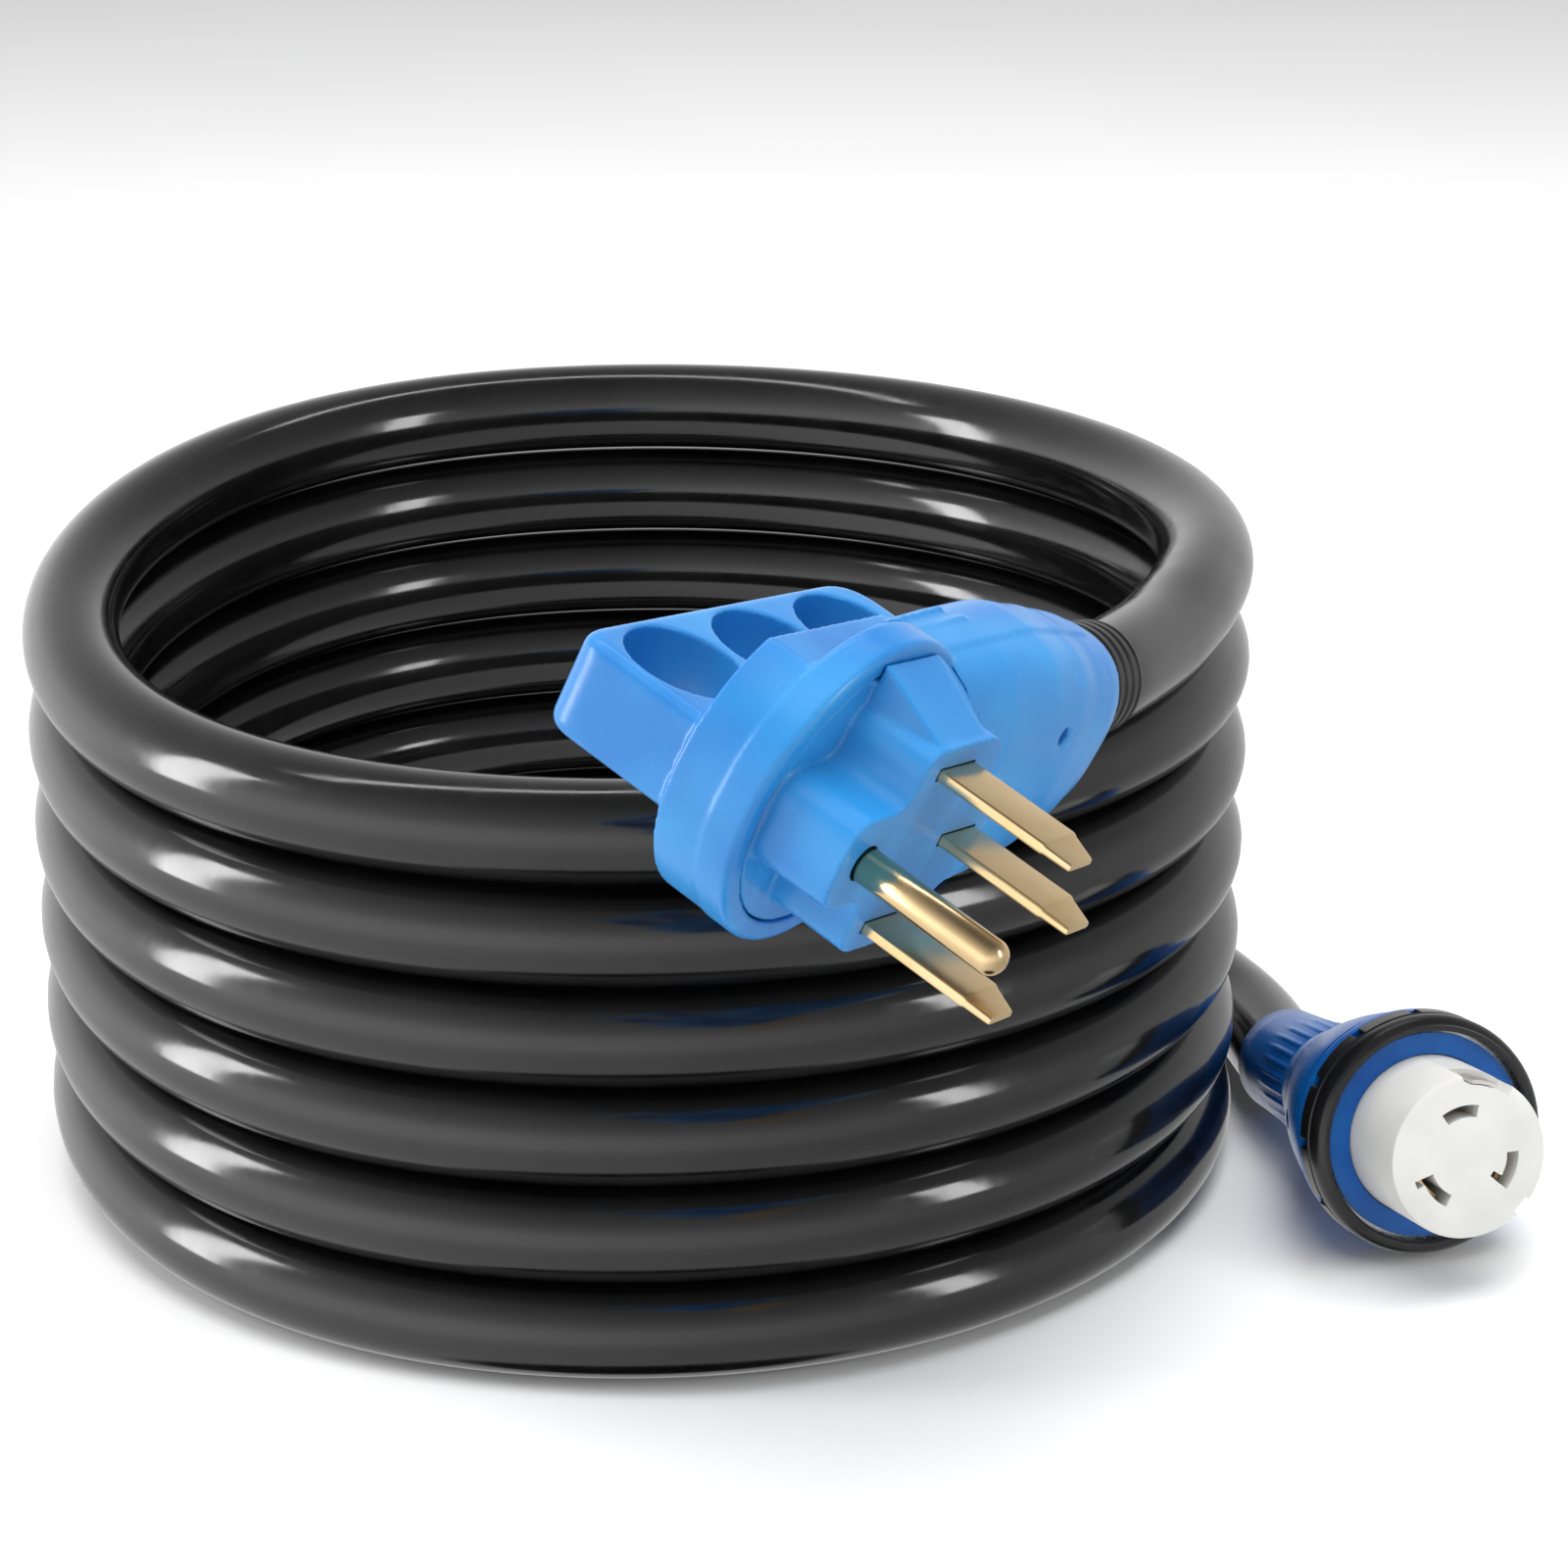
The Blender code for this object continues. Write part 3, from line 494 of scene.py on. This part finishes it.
def plug_shell():
    """Collar, handle and dome as one moulding, with its finger holes, front pocket and lamp hole."""
    front = -NOSE_LONG
    collar = [(1.0, front), (COLLAR_R - 1.2, front), (COLLAR_R, front - 1.0),
              (COLLAR_R, front - FLAT_FROM + 0.8), (COLLAR_R - 0.8, front - FLAT_FROM),
              (1.0, front - FLAT_FROM)]
    rings = [[(x, r * c, r * s) for c, s in circle(1.0, 160)] for r, x in collar]
    shell = solid("plug_shell", rings, PLUG)
    flat_topped = [(y, min(z, FLAT_TOP)) for y, z in circle(COLLAR_R - 0.4, 160)]
    collar_back = along_x("collar_back", flat_topped, front - COLLAR_LONG, front - 4)
    dome = solid("dome", dome_sections(0.0), PLUG)
    back_half = solid("back_half", dome_sections(BACK_PROUD), PLUG)
    keep_from, keep_to, past = 19, GLAND_END - 6, 60
    kept_side = [(keep_from, -past), (keep_to, -past), (keep_to, past), (keep_from, past)]
    keep_back = along_x("keep_back", kept_side, -past, -23)
    combine(back_half, [keep_back], "INTERSECT")
    ribs = [solid(f"rib_{k}", [[(x - 0.9, y, z), (x + 0.9, y, z), (x + 0.6, y, top), (x - 0.6, y, top)]
                               for y, z, top in ((15.0, 24, 31.6), (38.0 + 3 * k, 24, 32.6))], PLUG)
            for k, x in enumerate((-36.0, -31.5))]
    combine(shell, [collar_back, plug_handle(), dome, back_half, *ribs], "UNION")
    holes = [along_z(f"finger_{k}", [(HOLE_X + HOLE_X_R * x, (k - 0.5) * HOLE_PITCH + HOLE_Y_R * y)
                                     for x, y in circle(1.0, 96)], -45, 45, PLUG) for k in range(3)]
    holes.append(hood("hood_way", front + 0.01, -0.3, -0.2))
    pocket = along_x("pocket", circle(POCKET_R, 128), front - DISC_THICK - GAP, 5)
    well = along_x("well", circle(WELL_R, 96), front - WELL_DEEP, -10)
    middle_x, half_x, middle_z, half_z, power = -26.7, 19.7, 0.3, 30.3, 2.9  # the dome's oval at the lamp
    lamp_front = middle_x + half_x * (1 - ((LAMP_Z - middle_z) / half_z) ** power) ** (1 / power)
    lamp_way = along_x("lamp_way", circle(LAMP_R + 0.1, 48, (LAMP_Y, LAMP_Z)), lamp_front - 3.5, 5)
    combine(shell, holes + [pocket, well, lamp_way], "DIFFERENCE")
    moulded(shell, grain=0.5, passes=12)
    return shell


finish_piece(plug_shell(), plug_pvc, "plug_pvc", ROOT, "plug_body")


# Plug: nose, blades, pin and strain relief --------------------------------------------------------
def plug_nose():
    """The nose with a lobe round each blade, on the disc that fills the collar."""
    outline = rounded([(-31.5, -11.2, 8), (-13.5, -11.2, 6), (-13.5, -25.6, 7), (16.5, -25.6, 7),
                       (19.0, -13.5, 6), (29.6, -12.5, 6), (29.6, 12.5, 6), (19.0, 13.5, 6),
                       (16.5, 25.6, 7), (-13.5, 25.6, 7), (-13.5, 11.2, 6), (-31.5, 11.2, 8)])
    nose = along_x("plug_nose", outline, -NOSE_LONG - 3, 0)
    disc = along_x("disc", circle(POCKET_R - GAP, 128), -NOSE_LONG - 5, -NOSE_LONG - 0.4)
    combine(nose, [disc, hood("nose_hood", -NOSE_LONG + GAP, -0.6, 0.0)], "UNION")
    moulded(nose, grain=0.45, passes=8)
    cutters = []
    wide, thin, corner = BLADE_WIDE / 2 + GAP, BLADE_THICK / 2 + GAP, 0.3
    for k, (y, z) in enumerate(((0, LINE_SPACING / 2), (0, -LINE_SPACING / 2), (NEUTRAL_Y, 0))):
        outline = rounded([(y - wide, z - thin, corner), (y + wide, z - thin, corner),
                           (y + wide, z + thin, corner), (y - wide, z + thin, corner)], 3)
        cutters.append(along_x(f"blade_way_{k}", outline, -35, 5))
    cutters.append(along_x("pin_way", circle(PIN_R + GAP, 64, (GROUND_Y, 0)), -35, 5))
    combine(nose, cutters, "DIFFERENCE")
    return nose


def plug_blade(name, y, z):
    """A flat blade with rolled edges, which thins at its tip and has one corner cut off."""
    rings, half = [], BLADE_WIDE / 2
    tip = [(BLADE_BACK, half, 1.0), (BLADE_LONG - 8.2, half, 1.0), (BLADE_LONG - 7.6, half - 0.25, 0.96),
           (BLADE_LONG - 7.0, half - 0.6, 0.76), (BLADE_LONG - 0.6, half - 4.7, 0.66),
           (BLADE_LONG - 0.15, half - 5.0, 0.50), (BLADE_LONG, half - 5.3, 0.24)]
    for x, edge, thick in tip:
        t, low = BLADE_THICK / 2 * thick, -half + (0.5 if x > BLADE_LONG - 0.1 else 0.0)
        corner = min(0.6, 0.6 * t)
        outline = rounded([(low, -t, corner), (edge, -t, corner), (edge, t, corner), (low, t, corner)], 5)
        rings.append([(x, y + a, z + b) for a, b in outline])
    made = solid(name, rings, PLUG)
    crisp(made, width=0.12, angle=40.0)
    return made


def round_pin():
    """The ground pin, with its domed tip."""
    rings = [(BLADE_BACK, PIN_R)]
    for k in range(13):
        a = math.pi / 2 * k / 12
        rings.append((PIN_LONG - PIN_R * 0.9 * (1 - math.sin(a)), PIN_R * max(0.02, math.cos(a))))
    made = solid("round_pin", [[(x, GROUND_Y + a, b) for a, b in circle(r, 72)] for x, r in rings], PLUG)
    made.data.shade_smooth()
    return made


def strain_relief():
    """The tapered sleeve round the cable, with grooves round it."""
    outside = [(14.6, RELIEF_FROM), (14.6, GLAND_END - 1)]
    for k in range(4):
        y, r = GLAND_END + 2.2 + 3.8 * k, 14.5 - 0.22 * k
        outside += [(r, y), (r - 0.7, y + 0.5), (r - 0.7, y + 1.3), (r - 0.1, y + 1.8)]
    bore = CABLE_R / MM + 0.05
    outside += [(13.5, RELIEF_TO - 0.6), (13.2, RELIEF_TO), (bore, RELIEF_TO), (bore, RELIEF_FROM)]
    rings = [[(GLAND_X + r * c, y, GLAND_Z + r * s) for r, y in outside] for c, s in circle(1.0, 96)]
    made = solid("strain_relief", rings, PLUG, closed=True)
    crisp(made, width=0.2, angle=25.0)
    return made


finish_piece(plug_nose(), nose_nylon, "carrier_nylon", ROOT, "blade_carrier")
for blade, blade_y, blade_z in (("line_blade_x", 0.0, LINE_SPACING / 2),
                                ("line_blade_y", 0.0, -LINE_SPACING / 2),
                                ("neutral_blade", NEUTRAL_Y, 0.0)):
    finish_piece(plug_blade(f"stamped_{blade}", blade_y, blade_z), brass, "blade_brass", ROOT, blade)
finish_piece(round_pin(), brass, "blade_brass", ROOT, "ground_pin")
finish_piece(strain_relief(), relief_rubber, "seal_rubber", ROOT, "plug_strain_relief")


# Connector: shell, nut and locking ring -----------------------------------------------------------
def connector_body():
    """The tapering body with its flange, a parting groove, and two flats with a screw's hole in front."""
    outside = [(26.8, 3.0), (26.8, 1.6), (25.3, 1.6), (25.3, 0.0), (26.8, 0.0), (26.8, -6.3), (30.6, -6.3),
               (30.8, -7.6), (30.6, -9.4), (29.0, -10.6), (28.6, -13.0), (28.2, -17.0), (27.2, -22.0),
               (25.8, -27.0), (24.2, -32.0), (22.2, -37.4), (21.4, -37.8), (20.6, -40.0), (19.2, -44.0),
               (17.6, -48.0), (17.1, -50.6), (16.8, -52.0), (13.9, -52.0), (13.9, -61.5)]
    inside = [(12.2, -61.5), (12.2, -50.0), (16.5, -42.0), (BARREL_R - 1.0, -33.0),
              (BARREL_R + GAP, -26.0), (BARREL_R + GAP, 3.0)]
    made = turned("connector_body", outside + inside, 160, CONNECTOR)
    groove = [(40, -14.4), (27.8, -14.4), (27.8, -15.3), (40, -15.3)]
    cutters = [turned("parting_groove", groove, 160, CONNECTOR)]
    for k, side in enumerate((90, 270)):
        a = math.radians(side)
        axis = Vector((math.cos(a), math.sin(a), 0.32)).normalized()
        turn = axis.to_track_quat("Z", "Y").to_matrix().to_4x4()
        spot = CONNECTOR @ Matrix.Translation((23.6 * math.cos(a), 23.6 * math.sin(a), -28.5)) @ turn
        cutters.append(along_z(f"screw_way_{k}", circle(2.6, 40), -0.9, 6, spot))
        flat = CONNECTOR @ Matrix.Translation((27.0 * math.cos(a), 27.0 * math.sin(a), -45.0)) @ turn
        square = rounded([(-9, -9, 2), (9, -9, 2), (9, 9, 2), (-9, 9, 2)], 6)
        cutters.append(along_z(f"flat_{k}", square, -8.6, 10, flat))
    combine(made, cutters, "DIFFERENCE")
    crisp(made, width=0.35, angle=25.0)
    return made


def ribbed_nut():
    """The nut over the cable, with grip ribs along its front and a tapering end."""
    front, bore, sides = -52.6, CABLE_R / MM + 0.1, NUT_RIBS * 10
    # radius, share of the ribs' depth, place along the axis
    outside = [(15.2, 0.0, front), (15.7, 0.9, -53.4), (15.9, 1.0, -55.0), (15.7, 1.0, -66.0),
               (15.5, 0.2, -70.0), (15.3, 0.0, -74.0), (14.9, 0.0, -82.0), (14.6, 0.0, -88.6),
               (13.8, 0.0, NUT_TO)]
    inside = [(bore, 0.0, NUT_TO), (bore, 0.0, -73.0), (14.2, 0.0, -72.0), (14.2, 0.0, front)]
    rings = []
    for i in range(sides):
        a = 2 * math.pi * i / sides
        wave = NUT_RIB_DEEP * max(0.0, math.cos(NUT_RIBS * a)) ** 0.7
        rings.append([((r + share * wave) * math.cos(a), (r + share * wave) * math.sin(a), z)
                      for r, share, z in outside + inside])
    made = solid("ribbed_nut", rings, CONNECTOR, closed=True)
    made.data.shade_smooth()
    made.data.set_sharp_from_angle(angle=math.radians(50))
    return made


def turning_ring():
    """The locking ring, notched round its rear edge, with a rounded front lip."""
    profile = [(RING_IN, -RING_HALF), (RING_OUT - 0.8, -RING_HALF), (RING_OUT, -RING_HALF + 0.8),
               (RING_OUT, -0.4), (RING_OUT - 0.5, 0.0), (RING_OUT - 0.5, 0.6), (RING_OUT, 1.0),
               (RING_OUT, 2.6), (RING_OUT - 0.35, 4.2), (RING_OUT - 1.2, 5.4), (RING_OUT - 2.2, RING_HALF),
               (RING_IN + 1.0, RING_HALF), (RING_IN + 0.4, RING_HALF - 0.6), (RING_IN + 0.4, 4.2),
               (29.8, 3.4), (29.8, -0.3), (RING_IN, -0.3)]
    made = turned("turning_ring", profile, 192, CONNECTOR)
    cutters = []
    for k in range(NOTCHES):
        a = 2 * math.pi * k / NOTCHES
        out, side = Vector((math.cos(a), math.sin(a))), Vector((-math.sin(a), math.cos(a)))
        square = [tuple(out * r + side * w)
                  for r, w in ((29.7, -1.3), (33.5, -1.3), (33.5, 1.3), (29.7, 1.3))]
        cutters.append(along_z(f"notch_{k}", square, -RING_HALF - 2, -RING_HALF + 5.2, CONNECTOR))
    combine(made, cutters, "DIFFERENCE")
    crisp(made, width=0.3, angle=28.0)
    return made


finish_piece(connector_body(), shell_nylon, "shell_blue", ROOT, "connector_shell")
finish_piece(ribbed_nut(), shell_nylon, "shell_blue", ROOT, "cable_nut")
finish_piece(turning_ring(), ring_nylon, "ring_black", RING, "locking_ring")


# Connector: white barrel --------------------------------------------------------------------------
def slotted_barrel():
    """The barrel with its curved slots, two of them with a foot or a notch, and its two keyways."""
    edge = 1.0
    profile = [(BARREL_BACK, BARREL_R), (BARREL_FRONT - edge, BARREL_R),
               (BARREL_FRONT - edge * 0.3, BARREL_R - edge * 0.3), (BARREL_FRONT, BARREL_R - edge)]
    made = solid("slotted_barrel", [[(x, y, z) for x, y in circle(r, 192)] for z, r in profile], CONNECTOR)
    low, high = BARREL_BACK - 5, BARREL_FRONT + 5
    cutters = [along_z(f"slot_{k}", arc(SLOT_IN, SLOT_OUT, middle, SLOT_ARC), low, high, CONNECTOR)
               for k, middle in enumerate(SLOT_AT)]
    foot_at, notch_at = SLOT_AT[1] - SLOT_ARC / 2 + 5, SLOT_AT[2] - SLOT_ARC / 2 + 4
    for name, inner, outer, middle, spread, deep in (
            ("foot", SLOT_IN - 2.6, SLOT_IN + 1.0, foot_at, 11, 12),
            ("l_notch", SLOT_OUT - 1.0, SLOT_OUT + 2.0, notch_at, 8, 12),
            ("keyway", BARREL_R - 2.6, BARREL_R + 3, KEY_AT, 40, 9),
            ("side_notch", BARREL_R - 1.6, BARREL_R + 3, SIDE_NOTCH_AT, 14, 9)):
        outline = arc(inner, outer, middle, spread)
        cutters.append(along_z(name, outline, BARREL_FRONT - deep, high, CONNECTOR))
    combine(made, cutters, "DIFFERENCE")
    crisp(made, width=0.22, angle=30.0)
    return made


finish_piece(slotted_barrel(), barrel_resin, "barrel_white", ROOT, "contact_barrel")


# CAD nodes that keep their shape ------------------------------------------------------------------
kept = {"indicator_lens": lamp_lens, "barrel_seal": rubber, "cable_grommet": rubber, "ring_clip": steel,
        "ground_contact": pale_tin, "terminal_plate": insulation["black"]}
kept.update({f"arc_contact_{k}": brass for k in (1, 2, 3)})
for wire, colour in (("x", "black"), ("y", "red"), ("neutral", "white"), ("ground", "green")):
    kept[f"crimp_{wire}"] = copper
    kept[f"plug_wire_{wire}"] = insulation[colour]
    kept[f"connector_wire_{wire}"] = insulation[colour]
    kept[f"terminal_{wire}"] = brass
for node, finish in kept.items():
    frame["nodes"][node].data.materials.clear()
    frame["nodes"][node].data.materials.append(finish)


# Floor and light ----------------------------------------------------------------------------------
# Shades of grey from straight down (0) through the horizon (0.5) to straight up (1)
SKY = ((0.02, 0.02), (0.03, 0.60), (0.30, 0.75), (0.42, 1.0), (0.58, 1.0), (0.75, 0.55), (0.93, 0.25))
SKY_TOP = 0.12
SKY_LEFT, SKY_RIGHT = 1.55, 0.55


def pale_floor():
    """A wide sheet just under the cord, too low to touch it and left out of reflections."""
    half, sink, thick = 20.0, 0.0006, 0.02
    floor = along_z("floor", [(-half, -half), (half, -half), (half, half), (-half, half)],
                    -thick - sink, -sink, Matrix.Identity(4))
    made = Finish("floor_paper", Roughness=0.8)
    made.colour(made.spread(made.noise(3.0, 2.0), 0.0, 1.0), (0.95, 0.95, 0.95), (0.93, 0.93, 0.93))
    made.bump(made.noise(400.0, 3.0), 0.0001, 0.1)
    floor.data.materials.append(made.material)
    floor.visible_glossy = False


def softbox(name, at, target, size, power, glossy=True):
    """A rectangular light, placed and aimed from the coil's middle."""
    light = bpy.data.lights.new(name, "AREA")
    light.shape, light.size, light.size_y, light.energy = "RECTANGLE", *size, power
    made = bpy.data.objects.new(name, light)
    made.location = coil_middle + Vector(at)
    made.rotation_euler = (Vector(target) - Vector(at)).to_track_quat("-Z", "Y").to_euler()
    made.visible_glossy = glossy
    bpy.context.collection.objects.link(made)


def studio_sky():
    """A grey sky, brightest round the horizon and darker overhead, which fades from left to right."""
    world = bpy.data.worlds.new("studio")
    world.use_nodes = True
    nodes, links = world.node_tree.nodes, world.node_tree.links
    direction = nodes.new("ShaderNodeTexCoord")
    parts = nodes.new("ShaderNodeSeparateXYZ")
    upward_share = nodes.new("ShaderNodeMapRange")
    upward_share.inputs["From Min"].default_value = -1.0
    ramp = nodes.new("ShaderNodeValToRGB")
    for place, shade in SKY:
        stop = ramp.color_ramp.elements.new(place)
        stop.color = (shade, shade, shade, 1)
    ramp.color_ramp.elements[-1].color = (SKY_TOP, SKY_TOP, SKY_TOP, 1)
    sideways = nodes.new("ShaderNodeMapRange")
    for socket, number in (("From Min", -1.0), ("From Max", 1.0),
                           ("To Min", SKY_LEFT), ("To Max", SKY_RIGHT)):
        sideways.inputs[socket].default_value = number
    links.new(direction.outputs["Generated"], parts.inputs["Vector"])
    links.new(parts.outputs["Z"], upward_share.inputs["Value"])
    links.new(upward_share.outputs["Result"], ramp.inputs["Fac"])
    links.new(ramp.outputs["Color"], nodes["Background"].inputs["Color"])
    links.new(parts.outputs["X"], sideways.inputs["Value"])
    links.new(sideways.outputs["Result"], nodes["Background"].inputs["Strength"])
    return world


pale_floor()
softbox("top_light", (0.1, -0.1, 1.7), (0, 0, 0), (2.2, 1.6), power=46, glossy=False)
softbox("left_light", (-1.5, -0.2, 0.45), (0, 0, 0), (0.35, 1.2), power=12)
softbox("right_light", (1.5, -0.9, 0.6), (0.1, 0, 0), (0.3, 0.9), power=6)
softbox("top_strip", (-0.2, 0.4, 1.4), (0, 0, 0), (1.6, 0.12), power=3)
bpy.context.scene.world = studio_sky()
bpy.context.scene.view_settings.view_transform = "Standard"

bpy.context.view_layer.update()
